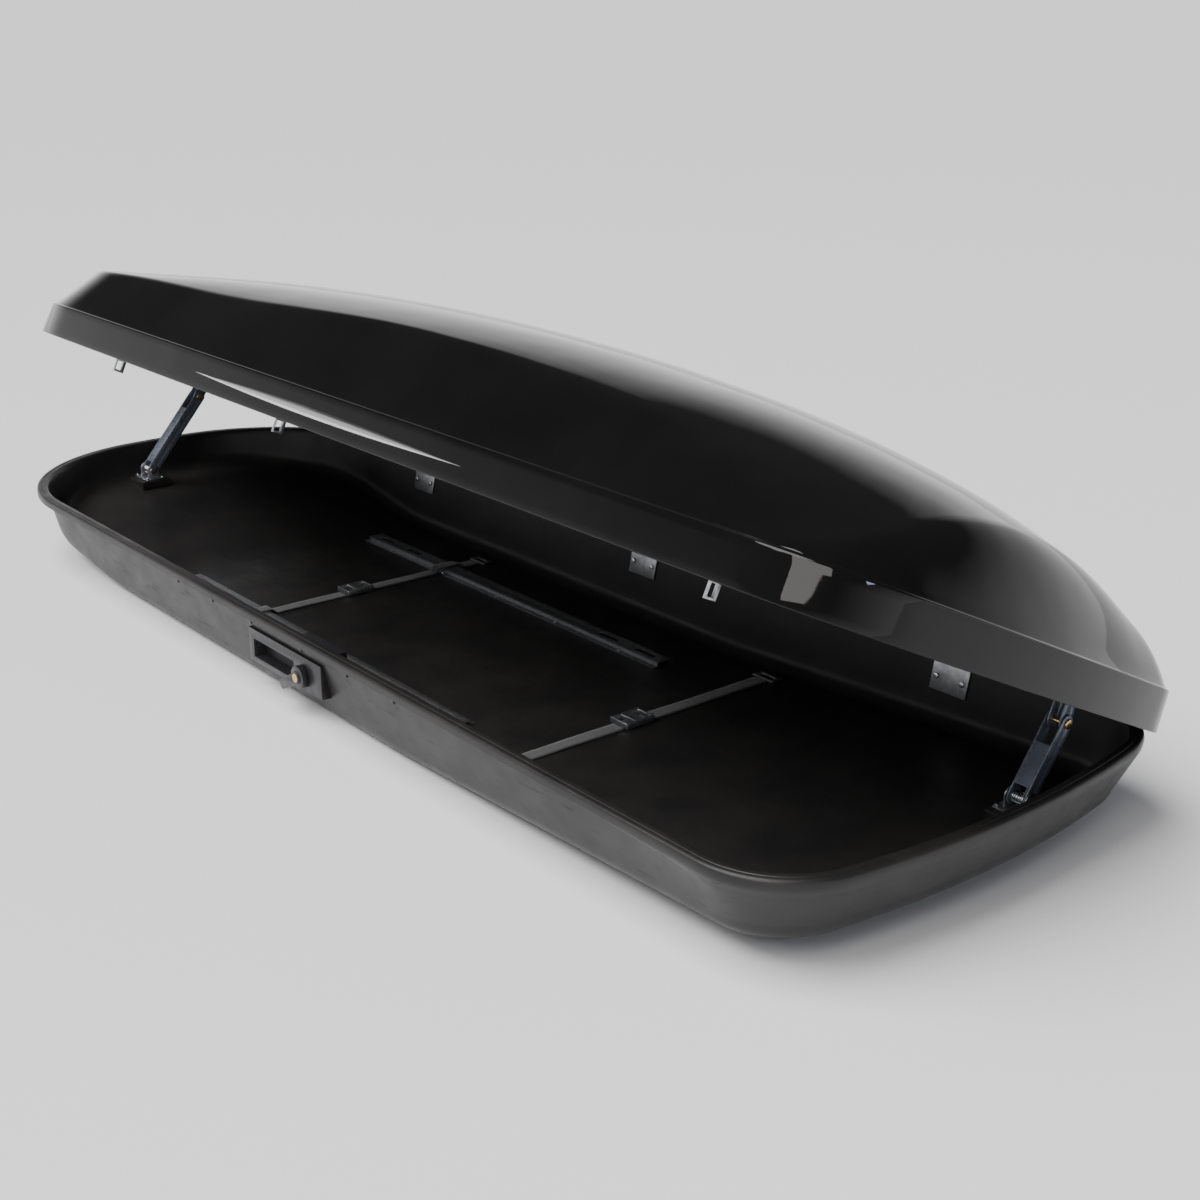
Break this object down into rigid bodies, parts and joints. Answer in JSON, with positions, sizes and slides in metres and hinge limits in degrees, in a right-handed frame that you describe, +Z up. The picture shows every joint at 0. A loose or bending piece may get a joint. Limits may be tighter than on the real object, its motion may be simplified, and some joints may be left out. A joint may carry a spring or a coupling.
{
  "type": "roof cargo box",
  "caption": "Long streamlined roof cargo box with a side-hinged domed lid on sprung elbow lifters, a shallow tray and a turn handle that slides a lock bar.",
  "frame": {"origin": "middle of the tray's flat underside, below mid-length", "axes": "+X towards the nose, +Z up, -Y towards the lock side, +Y towards the hinge side"},
  "size_m": [2.2199, 0.7349, 0.5515],
  "materials": {
    "tray_plastic": "fine-grained black, matt",
    "lid_gloss": "mirror-gloss black",
    "bright_trim": "satin bright",
    "zinc_steel": "zinc-plated, dull",
    "bright_steel": "bright plated",
    "brass": "polished",
    "lifter_grey": "blue-grey, semi-matt",
    "black_plastic": "moulded black, satin",
    "soft_plug": "matt",
    "webbing": "woven"
  },
  "bodies": {
    "tray": {"tray_shell": "tray_plastic", "floor_rail_near": "zinc_steel", "floor_rail_far": "zinc_steel", "rail_rivets": "bright_steel", "hinge_tray_leaf_rear": "zinc_steel", "hinge_tray_leaf_middle": "zinc_steel", "hinge_tray_leaf_front": "zinc_steel", "hinge_tray_screws": "bright_steel", "foot_bracket_front": "lifter_grey", "foot_bracket_rear": "lifter_grey", "foot_pin_front": "bright_steel", "foot_pin_rear": "bright_steel", "foot_bolts": "bright_steel", "bar_guides": "black_plastic", "lock_housing": "black_plastic", "lock_cover": "black_plastic", "rim_clips": "tray_plastic", "nose_plugs": "soft_plug", "load_strap_rear": "webbing", "load_strap_front": "webbing", "cam_buckle_rear": "zinc_steel", "cam_buckle_front": "zinc_steel", "strap_anchors": "zinc_steel"},
    "lid": {"lid_shell": "lid_gloss", "hinge_lid_leaf_rear": "zinc_steel", "hinge_lid_leaf_middle": "zinc_steel", "hinge_lid_leaf_front": "zinc_steel", "hinge_pins": "bright_steel", "hinge_lid_screws": "bright_steel", "lid_bracket_front": "lifter_grey", "lid_bracket_rear": "lifter_grey", "lid_bracket_bolts": "bright_steel", "lid_rail": "black_plastic", "striker_rear": "zinc_steel", "striker_middle": "zinc_steel", "striker_front": "zinc_steel", "striker_screws": "bright_steel", "trim_strip": "bright_trim"},
    "front_lower_arm": {"lower_arm_front": "lifter_grey", "elbow_rivet_front": "brass", "lifter_spring_front": "bright_steel"},
    "front_upper_arm": {"upper_arm_front": "lifter_grey", "top_pin_front": "bright_steel"},
    "rear_lower_arm": {"lower_arm_rear": "lifter_grey", "elbow_rivet_rear": "brass", "lifter_spring_rear": "bright_steel"},
    "rear_upper_arm": {"upper_arm_rear": "lifter_grey", "top_pin_rear": "bright_steel"},
    "handle": {"turn_handle": "black_plastic", "crank_disc": "zinc_steel"},
    "cylinder": {"lock_cylinder": "brass"},
    "bar": {"lock_bar": "zinc_steel", "lock_tongues": "zinc_steel", "bar_driver": "zinc_steel"}
  },
  "joints": [
    {"name": "lid_hinge", "type": "hinge", "parent": "tray", "child": "lid", "pos_m": [0, 0.335, 0.136], "axis": [1, 0, 0], "range_deg": [0, 25.5], "stiffness_Nm_per_rad": 60, "springref_deg": -41.25},
    {"name": "front_lower_pivot", "type": "hinge", "parent": "tray", "child": "front_lower_arm", "pos_m": [0.995, 0.132, 0.07], "axis": [1, 0, 0], "range_deg": [-37.76, 0]},
    {"name": "front_elbow", "type": "hinge", "parent": "front_lower_arm", "child": "front_upper_arm", "pos_m": [0.995, 0.195, 0.155], "axis": [1, 0, 0], "range_deg": [0, 79.75]},
    {"name": "rear_lower_pivot", "type": "hinge", "parent": "tray", "child": "rear_lower_arm", "pos_m": [-1.02, -0.055, 0.088], "axis": [1, 0, 0], "range_deg": [-40.28, 0]},
    {"name": "rear_elbow", "type": "hinge", "parent": "rear_lower_arm", "child": "rear_upper_arm", "pos_m": [-1.02, 0.06, 0.222], "axis": [1, 0, 0], "range_deg": [0, 109.38]},
    {"name": "handle_turn", "type": "hinge", "parent": "tray", "child": "handle", "pos_m": [0.08, -0.338, 0.062], "axis": [0, -1, 0], "range_deg": [0, 62.1]},
    {"name": "cylinder_turn", "type": "hinge", "parent": "handle", "child": "cylinder", "pos_m": [0.08, -0.345, 0.062], "axis": [0, -1, 0], "range_deg": [0, 90]},
    {"name": "bar_slide", "type": "slide", "parent": "tray", "child": "bar", "axis": [-1, 0, 0], "range_m": [0, 0.01442]}
  ],
  "couplings": [
    {"joint": "front_lower_pivot", "follows": "lid_hinge", "ratio": -1.4805},
    {"joint": "front_elbow", "follows": "lid_hinge", "ratio": 3.127},
    {"joint": "rear_lower_pivot", "follows": "lid_hinge", "ratio": -1.5794},
    {"joint": "rear_elbow", "follows": "lid_hinge", "ratio": 4.2891},
    {"joint": "handle_turn", "follows": "bar_slide", "rad_per_m": 75.036}
  ]
}
